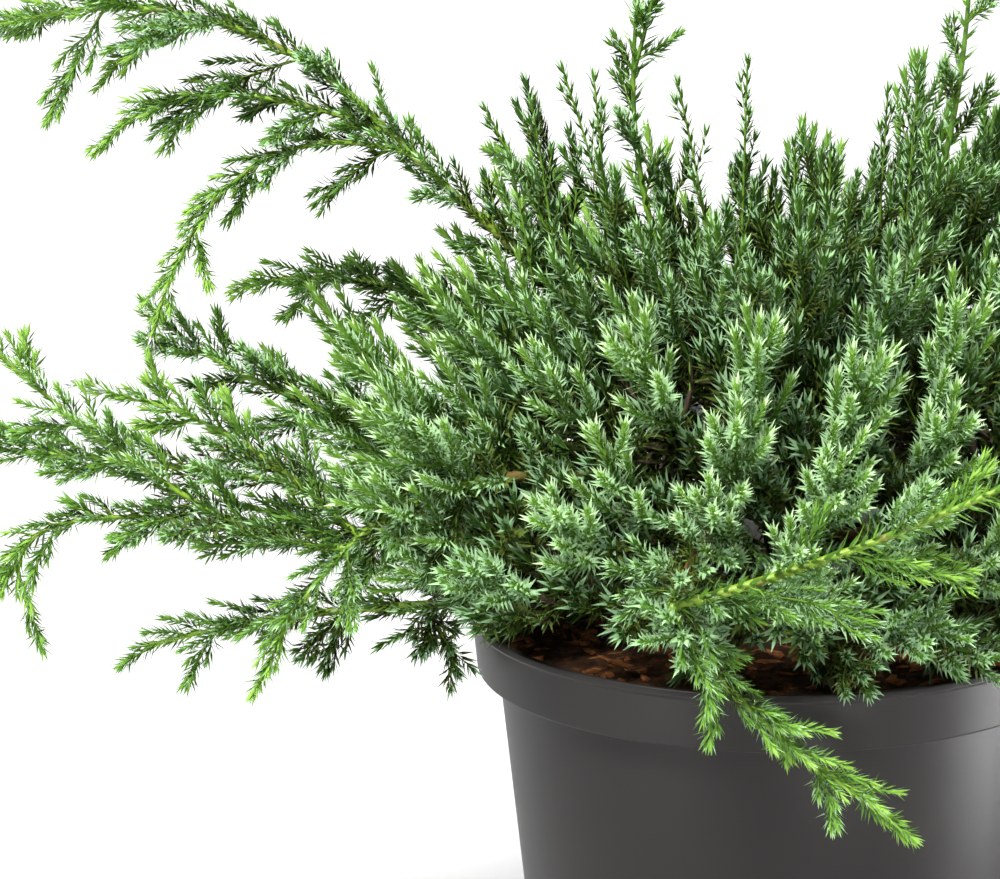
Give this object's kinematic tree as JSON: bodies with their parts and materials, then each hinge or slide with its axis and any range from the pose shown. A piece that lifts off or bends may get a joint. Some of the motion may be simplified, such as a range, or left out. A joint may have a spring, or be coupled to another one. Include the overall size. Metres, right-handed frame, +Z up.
{
  "type": "potted blue carpet flaky juniper",
  "caption": "Low spreading conifer shrub in a round nursery pot: dense blue-green needled crown with long arching shoots, standing on the pot's flat underside.",
  "frame": {"origin": "the middle of the pot's flat underside, on the surface that it stands on", "axes": "+Z up along the pot's axis; the side of the plant that the picture shows looks to -Y; +X is to the right of that view"},
  "size_m": [0.6074, 0.4088, 0.4477],
  "materials": {
    "pot_plastic": "satin moulded polypropylene, charcoal, smooth",
    "potting_soil": "loose dark peat with chips of bark, matt",
    "stem_bark": "thin flaking brown bark, matt",
    "young_bark": "smooth yellow-green bark of this year and last",
    "crown_needles": "blue-green needles with a pale waxy band, satin",
    "shoot_needles": "fresh green needles with a pale waxy band, satin"
  },
  "bodies": {
    "root": {"pot": "pot_plastic", "soil": "potting_soil", "stem": "stem_bark", "bough_arch_left": "young_bark", "bough_left_upper": "young_bark", "bough_left_mid": "young_bark", "bough_left_rising": "young_bark", "bough_front_left_arch": "young_bark", "bough_left_low": "young_bark", "bough_front_fork": "young_bark", "bough_upright_left": "young_bark", "bough_upright_right": "young_bark", "bough_arch_right": "young_bark", "bough_right_low": "young_bark", "bough_right_front": "young_bark", "bough_back_left": "young_bark", "bough_back_right": "young_bark", "bough_crown_low_1": "stem_bark", "bough_crown_low_2": "stem_bark", "bough_crown_low_3": "stem_bark", "bough_crown_low_4": "stem_bark", "bough_crown_low_5": "stem_bark", "bough_crown_low_6": "stem_bark", "bough_crown_mid_1": "stem_bark", "bough_crown_mid_2": "stem_bark", "bough_crown_mid_3": "stem_bark", "bough_crown_mid_4": "stem_bark", "shoots_arch_left": "shoot_needles", "shoots_arch_tip": "shoot_needles", "shoots_hanging_left": "shoot_needles", "shoots_arch_side": "shoot_needles", "shoots_left_upper": "shoot_needles", "shoots_left_mid": "shoot_needles", "shoots_left_rising": "shoot_needles", "shoots_front_left_arch": "shoot_needles", "shoots_left_bright": "shoot_needles", "shoots_left_drooping": "shoot_needles", "shoots_left_spray": "shoot_needles", "shoots_left_low": "shoot_needles", "shoots_front_rising": "shoot_needles", "shoots_front_falling": "shoot_needles", "shoots_upright_left": "shoot_needles", "shoots_upright_twin": "shoot_needles", "shoots_upright_right": "shoot_needles", "shoots_arch_right": "shoot_needles", "shoots_right_low": "shoot_needles", "shoots_right_front": "shoot_needles", "shoots_back_left": "shoot_needles", "shoots_back_right": "shoot_needles", "crown_low_1": "crown_needles", "crown_low_2": "crown_needles", "crown_low_3": "crown_needles", "crown_low_4": "crown_needles", "crown_low_5": "crown_needles", "crown_low_6": "crown_needles", "crown_mid_1": "crown_needles", "crown_mid_2": "crown_needles", "crown_mid_3": "crown_needles", "crown_mid_4": "crown_needles", "crown_top": "crown_needles"}
  },
  "joints": []
}
